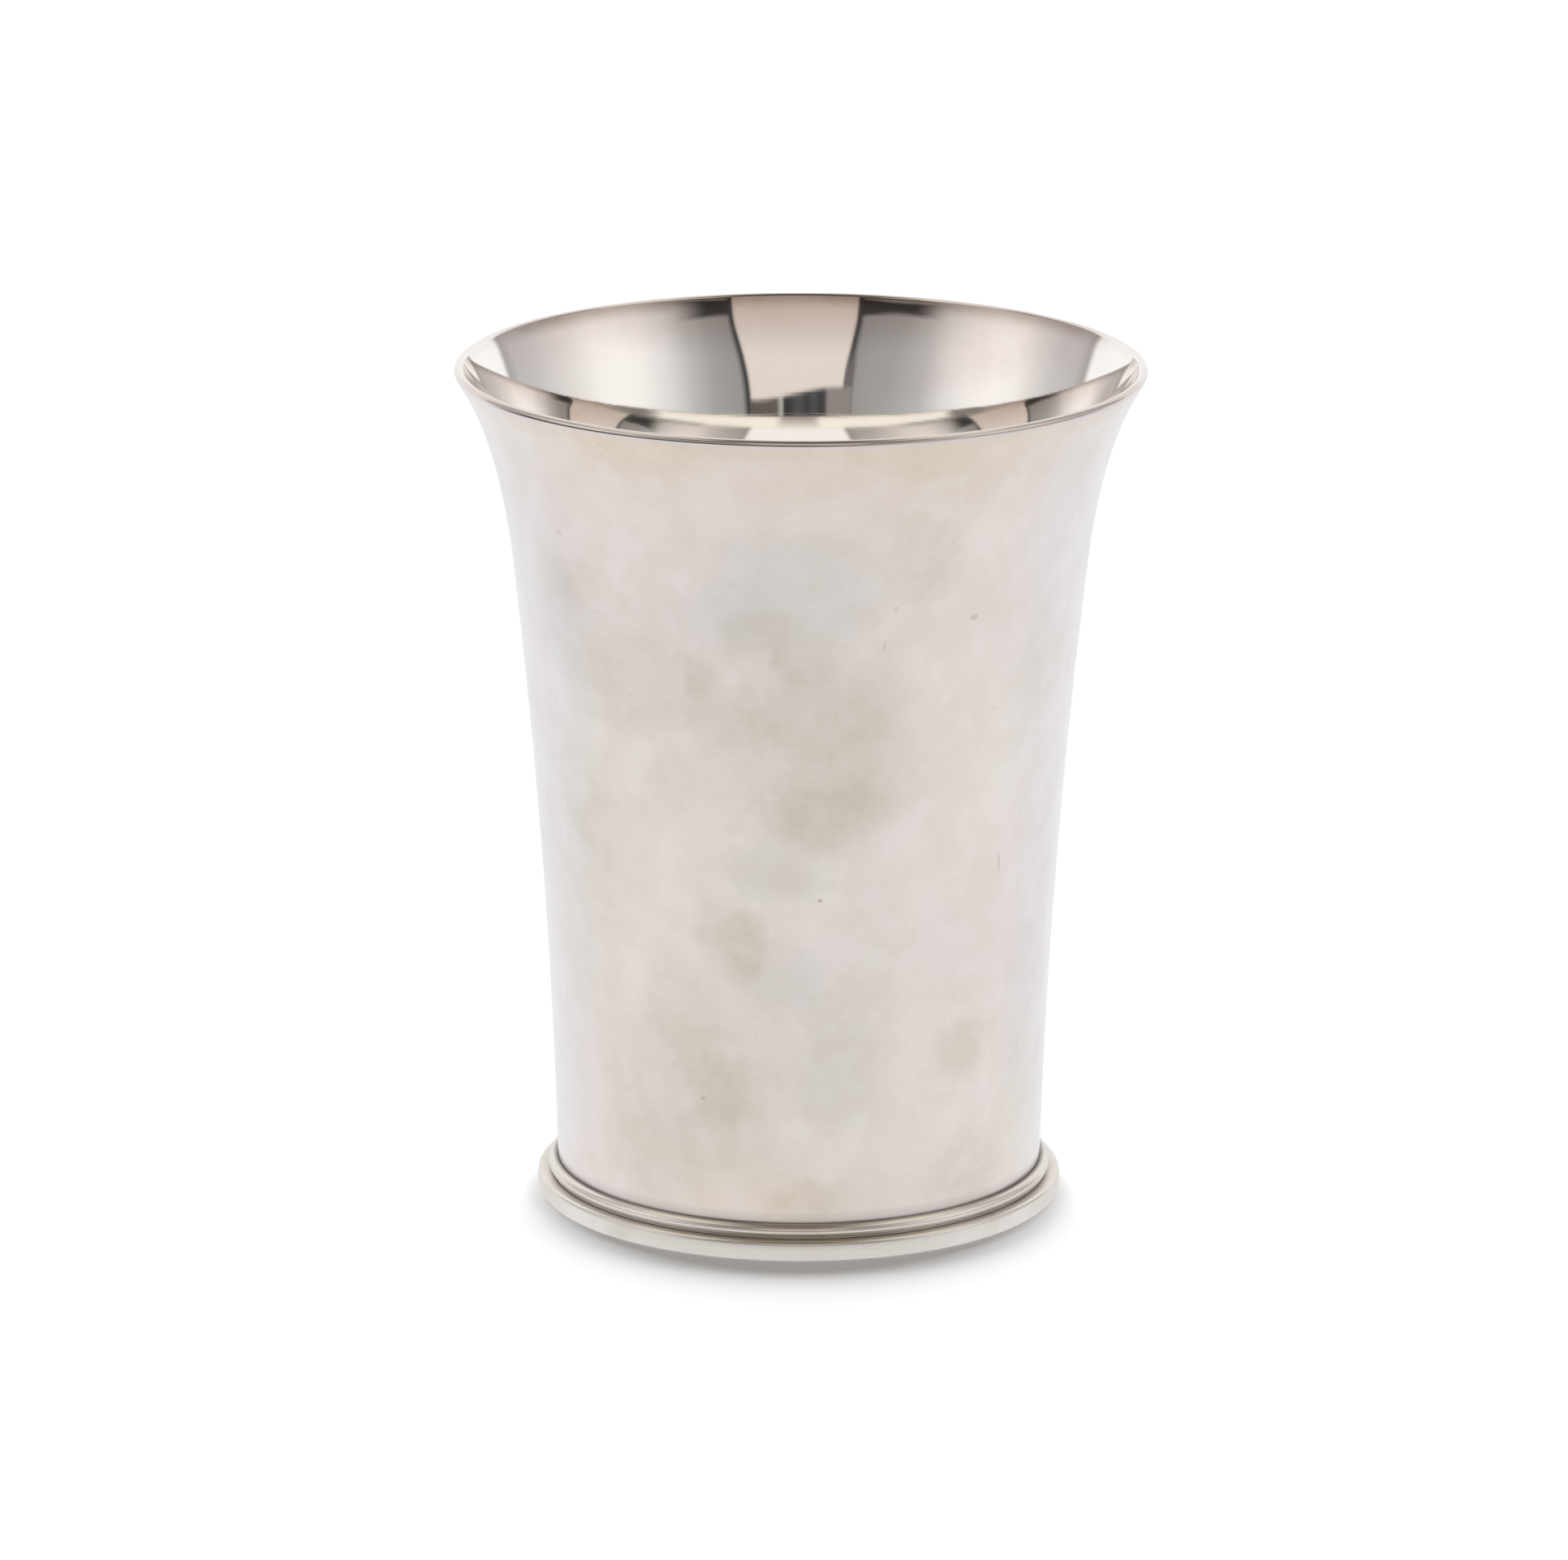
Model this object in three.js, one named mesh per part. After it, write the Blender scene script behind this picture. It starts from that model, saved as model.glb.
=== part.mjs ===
// A plain silver drinking beaker. A tapered wall flares to a rounded lip, a flat disc is let into its
// lower end, and a foot of two mouldings, a thin reed over a broader band, is soldered round it.
// Millimetres, +Z up. The origin is the centre of the circle that the foot stands on.
import * as THREE from 'three';

// Outline of the wall
const HEIGHT = 100;          // from the table to the top of the lip
const BASE_RADIUS = 28.7;    // outside of the taper, at the table
const NECK_RADIUS = 33.75;   // outside of the taper, where the flare begins
const LIP_RADIUS = 40.5;     // outermost reach of the lip
const TAPER_BOW = 0.9;       // how far the taper is drawn in from a straight cone, half way up
const FLARE_HEIGHT = 23.5;   // from the neck to the top of the lip
const FLARE_LEAD_IN = 15.9;  // reach of the taper's line into the flare
const FLARE_LEAD_OUT = 2.3;  // reach of the lip's line back into the flare
const LIP_LEAN = 29;         // degrees that the lip leans out from upright

// Sheet
const WALL_THICKNESS = 0.7;
const LIP_THICKNESS = 1.1;   // the edge is hammered thicker than the sheet
const WALL_RISE = 0.3;       // lower end of the wall, above the table
const DISC_THICKNESS = 0.8;
const DISC_RISE = 1.4;       // underside of the base disc, above the table

// Foot mouldings
const BAND_HEIGHT = 2.25;
const BAND_DEPTH = 2.35;     // how far the band stands out from the wall
const BAND_SHOULDER = 0.8;   // radius of its upper edge
const BAND_HEEL = 0.35;      // radius of its lower edge
const REED_HEIGHT = 1.6;
const REED_DEPTH = 1.1;      // how far the reed stands out from the wall
const REED_CROWN = 0.9;      // half the width of the oval that the reed is cut from

const SOLDER_GAP = 0.05;     // between a piece and what it is soldered to

// Facets
const TURN_STEPS = 72;
const TAPER_STEPS = 8;
const FLARE_STEPS = 11;
const LIP_STEPS = 6;
const REED_STEPS = 10;
const EDGE_STEPS = 4;

const neckHeight = HEIGHT - FLARE_HEIGHT;
const lipLean = THREE.MathUtils.degToRad(LIP_LEAN);
const quarterTurn = Math.PI / 2;

// The outside of the taper, radius against height. Its height grows evenly along the curve.
const taper = new THREE.QuadraticBezierCurve(
  new THREE.Vector2(BASE_RADIUS, 0),
  new THREE.Vector2((BASE_RADIUS + NECK_RADIUS) / 2 - 2 * TAPER_BOW, neckHeight / 2),
  new THREE.Vector2(NECK_RADIUS, neckHeight),
);

const lipCentre = new THREE.Vector2(LIP_RADIUS - LIP_THICKNESS / 2, HEIGHT - LIP_THICKNESS / 2);

// The outside of the flare, from the neck to where the lip's rounding begins.
function makeFlare() {
  const neck = taper.getPoint(1);
  const leadIn = taper.getTangent(1).multiplyScalar(FLARE_LEAD_IN).add(neck);
  const lipEdge = new THREE.Vector2(Math.cos(lipLean), -Math.sin(lipLean))
    .multiplyScalar(LIP_THICKNESS / 2)
    .add(lipCentre);
  const leadOut = new THREE.Vector2(-Math.sin(lipLean), -Math.cos(lipLean))
    .multiplyScalar(FLARE_LEAD_OUT)
    .add(lipEdge);
  return new THREE.CubicBezierCurve(neck, leadIn, leadOut, lipEdge);
}

// Radius of the taper's outside and inside at a height, which the soldered pieces fit.
function outsideAt(height) {
  return taper.getPoint(height / neckHeight).x;
}

function insideAt(height) {
  return outsideAt(height) - WALL_THICKNESS;
}

// Points on an oval arc, its ends included, for angles in radians from the outward direction.
function ovalArc(centre, halfWidth, halfHeight, from, to, steps) {
  const arc = new THREE.EllipseCurve(centre.x, centre.y, halfWidth, halfHeight, from, to, to < from);
  return arc.getPoints(steps);
}

// A closed outline of radius against height, turned about the upright axis.
function turned(outline) {
  const geometry = new THREE.LatheGeometry(outline, TURN_STEPS);
  geometry.rotateX(quarterTurn);
  return geometry;
}

// The outer point of the wall at a place on one of its curves, and the inner point across the sheet.
function acrossWall(curve, place, thickness) {
  const outer = curve.getPoint(place);
  const along = curve.getTangent(place);
  const inner = new THREE.Vector2(-along.y, along.x).multiplyScalar(thickness).add(outer);
  return { outer, inner };
}

function bodyWall() {
  const flare = makeFlare();
  const lowEnd = WALL_RISE / neckHeight;
  const stations = [];
  for (let i = 0; i <= TAPER_STEPS; i++) {
    const place = THREE.MathUtils.lerp(lowEnd, 1, i / TAPER_STEPS);
    stations.push(acrossWall(taper, place, WALL_THICKNESS));
  }
  for (let i = 1; i <= FLARE_STEPS; i++) {
    const place = i / FLARE_STEPS;
    const thickness = THREE.MathUtils.lerp(WALL_THICKNESS, LIP_THICKNESS, place);
    stations.push(acrossWall(flare, place, thickness));
  }
  const lipRadius = LIP_THICKNESS / 2;
  const lip = ovalArc(lipCentre, lipRadius, lipRadius, -lipLean, Math.PI - lipLean, LIP_STEPS);
  const up = stations.map((station) => station.outer);
  const down = stations.map((station) => station.inner).reverse();
  return turned([...up, ...lip.slice(1, -1), ...down, up[0]]);
}

function baseDisc() {
  const top = DISC_RISE + DISC_THICKNESS;
  return turned([
    new THREE.Vector2(0, DISC_RISE),
    new THREE.Vector2(insideAt(DISC_RISE) - SOLDER_GAP, DISC_RISE),
    new THREE.Vector2(insideAt(top) - SOLDER_GAP, top),
    new THREE.Vector2(0, top),
  ]);
}

// The broad lower moulding: flat below, with a small heel and a rounder shoulder.
function footBand() {
  const seatLow = outsideAt(0) + SOLDER_GAP;
  const seatTop = outsideAt(BAND_HEIGHT) + SOLDER_GAP;
  const reach = seatTop + BAND_DEPTH;
  const heelCentre = new THREE.Vector2(reach - BAND_HEEL, BAND_HEEL);
  const shoulderCentre = new THREE.Vector2(reach - BAND_SHOULDER, BAND_HEIGHT - BAND_SHOULDER);
  const seat = new THREE.Vector2(seatLow, 0);
  return turned([
    seat,
    ...ovalArc(heelCentre, BAND_HEEL, BAND_HEEL, -quarterTurn, 0, EDGE_STEPS),
    ...ovalArc(shoulderCentre, BAND_SHOULDER, BAND_SHOULDER, 0, quarterTurn, EDGE_STEPS),
    new THREE.Vector2(seatTop, BAND_HEIGHT),
    seat,
  ]);
}

// The thin upper moulding: an oval wire, flat where it seats against the wall.
function footReed() {
  const low = BAND_HEIGHT + SOLDER_GAP;
  const middle = low + REED_HEIGHT / 2;
  const seat = outsideAt(low + REED_HEIGHT) + SOLDER_GAP;
  const centre = new THREE.Vector2(seat + REED_DEPTH - REED_CROWN, middle);
  const seatAngle = Math.acos(THREE.MathUtils.clamp((seat - centre.x) / REED_CROWN, -1, 1));
  const round = ovalArc(centre, REED_CROWN, REED_HEIGHT / 2, -seatAngle, seatAngle, REED_STEPS);
  return turned([...round, round[0]]);
}

function silver(color, roughness) {
  return new THREE.MeshStandardMaterial({ color, roughness, metalness: 1 });
}

function piece(name, geometry, material) {
  const mesh = new THREE.Mesh(geometry, material);
  mesh.name = name;
  return mesh;
}

const beaker = new THREE.Group();
beaker.add(
  piece('body_wall', bodyWall(), silver(0xdcd5cf, 0.2)),
  piece('base_disc', baseDisc(), silver(0xd6d0c9, 0.3)),
  piece('foot_reed', footReed(), silver(0xe4dfdb, 0.15)),
  piece('foot_band', footBand(), silver(0xdad3cd, 0.2)),
);

export default beaker;
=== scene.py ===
import bpy
import math
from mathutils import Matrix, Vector
from mathutils.geometry import interpolate_bezier


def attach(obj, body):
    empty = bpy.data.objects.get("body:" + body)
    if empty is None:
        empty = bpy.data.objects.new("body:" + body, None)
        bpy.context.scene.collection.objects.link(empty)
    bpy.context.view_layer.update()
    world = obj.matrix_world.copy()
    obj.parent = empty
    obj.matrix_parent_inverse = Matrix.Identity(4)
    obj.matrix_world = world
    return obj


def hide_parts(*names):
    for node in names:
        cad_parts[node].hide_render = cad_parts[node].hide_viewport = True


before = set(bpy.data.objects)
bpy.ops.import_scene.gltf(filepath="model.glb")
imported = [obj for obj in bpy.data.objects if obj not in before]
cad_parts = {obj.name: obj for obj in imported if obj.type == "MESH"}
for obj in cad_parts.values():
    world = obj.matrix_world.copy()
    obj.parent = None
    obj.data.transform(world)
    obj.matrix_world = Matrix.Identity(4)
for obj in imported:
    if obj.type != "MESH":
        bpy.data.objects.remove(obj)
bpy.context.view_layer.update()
mm = 0.001
fullTurn = 2 * math.pi
weld = 0.001 * mm  # points closer than this become one
print("frame loaded:", sorted(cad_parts))


# helpers for modelling

def startFresh():
    if bpy.context.mode != "OBJECT":
        bpy.ops.object.mode_set(mode="OBJECT")
    bpy.ops.object.select_all(action="DESELECT")


def turnOnLathe(name, outline, steps, closed):
    # one point is pulled along the outline, then spun round the upright axis
    startFresh()
    first = outline[0]
    bpy.ops.mesh.primitive_plane_add(size=mm, location=(first[0] * mm, 0, first[1] * mm))
    piece = bpy.context.object
    piece.name = piece.data.name = name
    bpy.ops.object.transform_apply(location=True, rotation=True, scale=True)
    bpy.ops.object.mode_set(mode="EDIT")
    bpy.ops.mesh.select_all(action="SELECT")
    bpy.ops.mesh.merge(type="CENTER")
    path = outline[1:] + ([first] if closed else [])
    for last, point in zip(outline, path):
        move = ((point[0] - last[0]) * mm, 0, (point[1] - last[1]) * mm)
        bpy.ops.mesh.extrude_region_move(TRANSFORM_OT_translate={"value": move})
    bpy.ops.mesh.select_all(action="SELECT")
    bpy.ops.mesh.remove_doubles(threshold=weld)
    bpy.ops.mesh.spin(steps=steps, angle=fullTurn, center=(0, 0, 0), axis=(0, 0, 1))
    bpy.ops.mesh.select_all(action="SELECT")
    bpy.ops.mesh.remove_doubles(threshold=weld)
    bpy.ops.mesh.normals_make_consistent(inside=False)
    bpy.ops.object.mode_set(mode="OBJECT")
    return piece


def workByHand(piece, texture, depth):
    # the slight unevenness that hammer and buff leave
    bpy.context.view_layer.objects.active = piece
    bpy.ops.object.modifier_add(type="DISPLACE")
    wave = piece.modifiers[-1]
    wave.texture = texture
    wave.texture_coords = "LOCAL"
    wave.strength = depth * mm
    wave.mid_level = 0.5
    bpy.ops.object.modifier_apply(modifier=wave.name)


def paintPoints(piece, name, rule):
    # a value at each point from its distance to the axis and its height, in mm
    values = [rule(math.hypot(v.co.x, v.co.y) / mm, v.co.z / mm) for v in piece.data.vertices]
    layer = piece.data.attributes.new(name, "FLOAT", "POINT")
    layer.data.foreach_set("value", values)


def finishPiece(piece, node, material, sharp):
    startFresh()
    piece.select_set(True)
    bpy.context.view_layer.objects.active = piece
    bpy.ops.object.shade_smooth_by_angle(angle=math.radians(sharp))
    piece.data.materials.append(material)
    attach(piece, "root")
    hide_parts(node)
    print(piece.name, "done:", len(piece.data.polygons), "faces")


def ramp(value, low, high):
    # 0 at low, 1 at high
    return min(max((value - low) / (high - low), 0), 1)


def arc(centre, wide, high, start, end, steps):
    # points on part of an oval, by degrees from straight out
    turns = [math.radians(start + (end - start) * i / steps) for i in range(steps + 1)]
    return [(centre[0] + wide * math.cos(a), centre[1] + high * math.sin(a)) for a in turns]


# helpers for nodes

def addNode(tree, kind, inputs=None, **settings):
    made = tree.nodes.new("ShaderNode" + kind)
    for name, value in settings.items():
        setattr(made, name, value)
    # an input is another node's output or a plain value
    for key, value in (inputs or {}).items():
        if isinstance(value, bpy.types.NodeSocket):
            tree.links.new(value, made.inputs[key])
        else:
            made.inputs[key].default_value = value
    return made


def calc(tree, operation, *values):
    return addNode(tree, "Math", dict(enumerate(values)), operation=operation).outputs[0]


def fade(tree, value, low, high, start=0.0, end=1.0):
    inputs = {"Value": value, "From Min": low, "From Max": high, "To Min": start, "To Max": end}
    return addNode(tree, "MapRange", inputs, interpolation_type="SMOOTHSTEP").outputs[0]


def blendColour(tree, share, first, second, mode="MIX"):
    made = addNode(tree, "Mix", {0: share, 6: first, 7: second}, data_type="RGBA", blend_type=mode)
    return made.outputs[2]


def colourRamp(tree, value, stops):
    # stops are given in the value's own unit, the last one at its end
    span = stops[-1][0]
    made = addNode(tree, "ValToRGB", {"Fac": calc(tree, "DIVIDE", value, span)})
    elements = made.color_ramp.elements
    while len(elements) < len(stops):
        elements.new(1.0)
    for element, (place, colour) in zip(elements, stops):
        element.position = place / span
        element.color = (*colour, 1.0)
    return made.outputs["Color"]


def startGroup(name, inputs, outputs):
    tree = bpy.data.node_groups.new(name, "ShaderNodeTree")
    for socketName, kind in inputs:
        tree.interface.new_socket(name=socketName, in_out="INPUT", socket_type="NodeSocket" + kind)
    for socketName in outputs:
        tree.interface.new_socket(name=socketName, in_out="OUTPUT", socket_type="NodeSocketFloat")
    return tree, tree.nodes.new("NodeGroupInput").outputs, tree.nodes.new("NodeGroupOutput").inputs


def useGroup(tree, group, inputs):
    return addNode(tree, "Group", inputs, node_tree=group).outputs


# finishes that the pieces share

effectValues = {
    # where the edge of each begins and ends
    "mottleEdge": (0.32, 0.68), "patchEdge": (0.32, 0.94), "lineEdge": (0.3, 0.7),
    "scratchEdge": (0.0008, 0.0036), "mottleFiner": 5.0, "noiseMiddle": 0.5,
    # the scratches' three directions, their stretch, and how they break off
    "scratchTurns": ((0.25, 0.15, 0.4), (-0.35, 0.5, 1.5), (0.6, -0.3, 2.6)),
    "scratchStretch": (0.035, 1.0, 1.0), "scratchBreaks": 150.0, "breakSoft": 0.08,
}


# soft clouds of tarnish, and a finer mottle inside them
def makeTarnishBloom():
    tree, given, out = startGroup(
        "tarnishBloom",
        [("Vector", "Vector"), ("Scale", "Float"), ("Cover", "Float"), ("Soft", "Float")],
        ["Mask", "Mottle"],
    )
    cloud = addNode(tree, "TexNoise", {
        "Vector": given["Vector"], "Scale": given["Scale"],
        "Detail": 4.0, "Roughness": 0.55, "Distortion": 0.7})
    low = calc(tree, "SUBTRACT", 1.0, given["Cover"])
    high = calc(tree, "ADD", low, given["Soft"])
    tree.links.new(fade(tree, cloud.outputs["Fac"], low, high), out["Mask"])
    finer = calc(tree, "MULTIPLY", given["Scale"], effectValues["mottleFiner"])
    mottle = addNode(tree, "TexNoise", {
        "Vector": given["Vector"], "Scale": finer, "Detail": 5.0, "Roughness": 0.6, "Distortion": 0.3})
    tree.links.new(fade(tree, mottle.outputs["Fac"], *effectValues["mottleEdge"]), out["Mottle"])
    return tree


# one soft mark at a place on the piece
def makeTarnishPatch():
    tree, given, out = startGroup(
        "tarnishPatch", [("Vector", "Vector"), ("Centre", "Vector"), ("Reach", "Vector")], ["Mask"])
    away = addNode(tree, "VectorMath", {0: given["Vector"], 1: given["Centre"]}, operation="SUBTRACT")
    shaped = addNode(tree, "VectorMath", {0: away.outputs[0], 1: given["Reach"]}, operation="DIVIDE")
    reach = addNode(tree, "VectorMath", {0: shaped.outputs[0]}, operation="LENGTH").outputs["Value"]
    tree.links.new(fade(tree, reach, *effectValues["patchEdge"], 1.0, 0.0), out["Mask"])
    return tree


# fine lines round the axis, as left by turning and buffing
def makePolishLines():
    tree, given, out = startGroup(
        "polishLines",
        [("Vector", "Vector"), ("Across", "Float"), ("Along", "Float")],
        ["Lines"],
    )
    split = addNode(tree, "SeparateXYZ", {0: given["Vector"]})
    flat = addNode(tree, "CombineXYZ", {"X": split.outputs["X"], "Y": split.outputs["Y"]})
    radius = addNode(tree, "VectorMath", {0: flat.outputs[0]}, operation="LENGTH").outputs["Value"]
    aside = addNode(tree, "VectorMath", {0: flat.outputs[0]}, operation="NORMALIZE")
    parted = addNode(tree, "SeparateXYZ", {0: aside.outputs[0]})
    across = calc(tree, "MULTIPLY", calc(tree, "ADD", split.outputs["Z"], radius), given["Across"])
    lines = addNode(tree, "CombineXYZ", {
        "X": calc(tree, "MULTIPLY", parted.outputs["X"], given["Along"]),
        "Y": calc(tree, "MULTIPLY", parted.outputs["Y"], given["Along"]),
        "Z": across})
    grain = addNode(tree, "TexNoise", {
        "Vector": lines.outputs[0], "Scale": 1.0, "Detail": 3.0, "Roughness": 0.65})
    tree.links.new(fade(tree, grain.outputs["Fac"], *effectValues["lineEdge"]), out["Lines"])
    return tree


# long hairline scratches, broken up, in three directions
def makeHairlines():
    tree, given, out = startGroup(
        "hairlines", [("Vector", "Vector"), ("Scale", "Float"), ("Few", "Float")], ["Mask"])
    e = effectValues
    enough = calc(tree, "ADD", given["Few"], e["breakSoft"])
    joined = 0.0
    for i, turn in enumerate(e["scratchTurns"]):
        placed = addNode(tree, "Mapping", {
            "Vector": given["Vector"],
            "Location": (i, i, i), "Rotation": turn, "Scale": e["scratchStretch"]})
        # a scratch runs where the stretched noise crosses its middle
        waves = addNode(tree, "TexNoise", {
            "Vector": placed.outputs[0], "Scale": given["Scale"], "Detail": 1.0})
        near = calc(tree, "ABSOLUTE", calc(tree, "SUBTRACT", waves.outputs["Fac"], e["noiseMiddle"]))
        thin = fade(tree, near, *e["scratchEdge"], 1.0, 0.0)
        parts = addNode(tree, "TexNoise", {
            "Vector": placed.outputs[0], "Scale": e["scratchBreaks"], "Detail": 2.0})
        broken = fade(tree, parts.outputs["Fac"], given["Few"], enough)
        joined = calc(tree, "MAXIMUM", joined, calc(tree, "MULTIPLY", thin, broken))
    tree.links.new(joined, out["Mask"])
    return tree


# a few tiny pits and spots, far apart
def makeSpecks():
    tree, given, out = startGroup(
        "specks", [("Vector", "Vector"), ("Scale", "Float"), ("Few", "Float"), ("Size", "Float")], ["Mask"])
    cells = addNode(tree, "TexVoronoi", {
        "Vector": given["Vector"], "Scale": given["Scale"], "Randomness": 1.0})
    dot = fade(tree, cells.outputs["Distance"], 0.0, given["Size"], 1.0, 0.0)
    lot = addNode(tree, "SeparateColor", {0: cells.outputs["Color"]}).outputs["Red"]
    chosen = calc(tree, "GREATER_THAN", lot, given["Few"])
    tree.links.new(calc(tree, "MULTIPLY", dot, chosen), out["Mask"])
    return tree


tarnishBloom = makeTarnishBloom()
tarnishPatch = makeTarnishPatch()
polishLines = makePolishLines()
hairlines = makeHairlines()
specks = makeSpecks()


def startSilver(name):
    material = bpy.data.materials.new(name)
    material.use_nodes = True
    tree = material.node_tree
    shader = tree.nodes["Principled BSDF"]
    shader.inputs["Metallic"].default_value = 1.0
    coords = addNode(tree, "TexCoord").outputs["Object"]
    return material, tree, shader, coords


# the wall: tapered, flared and rolled thick at the lip

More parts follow.
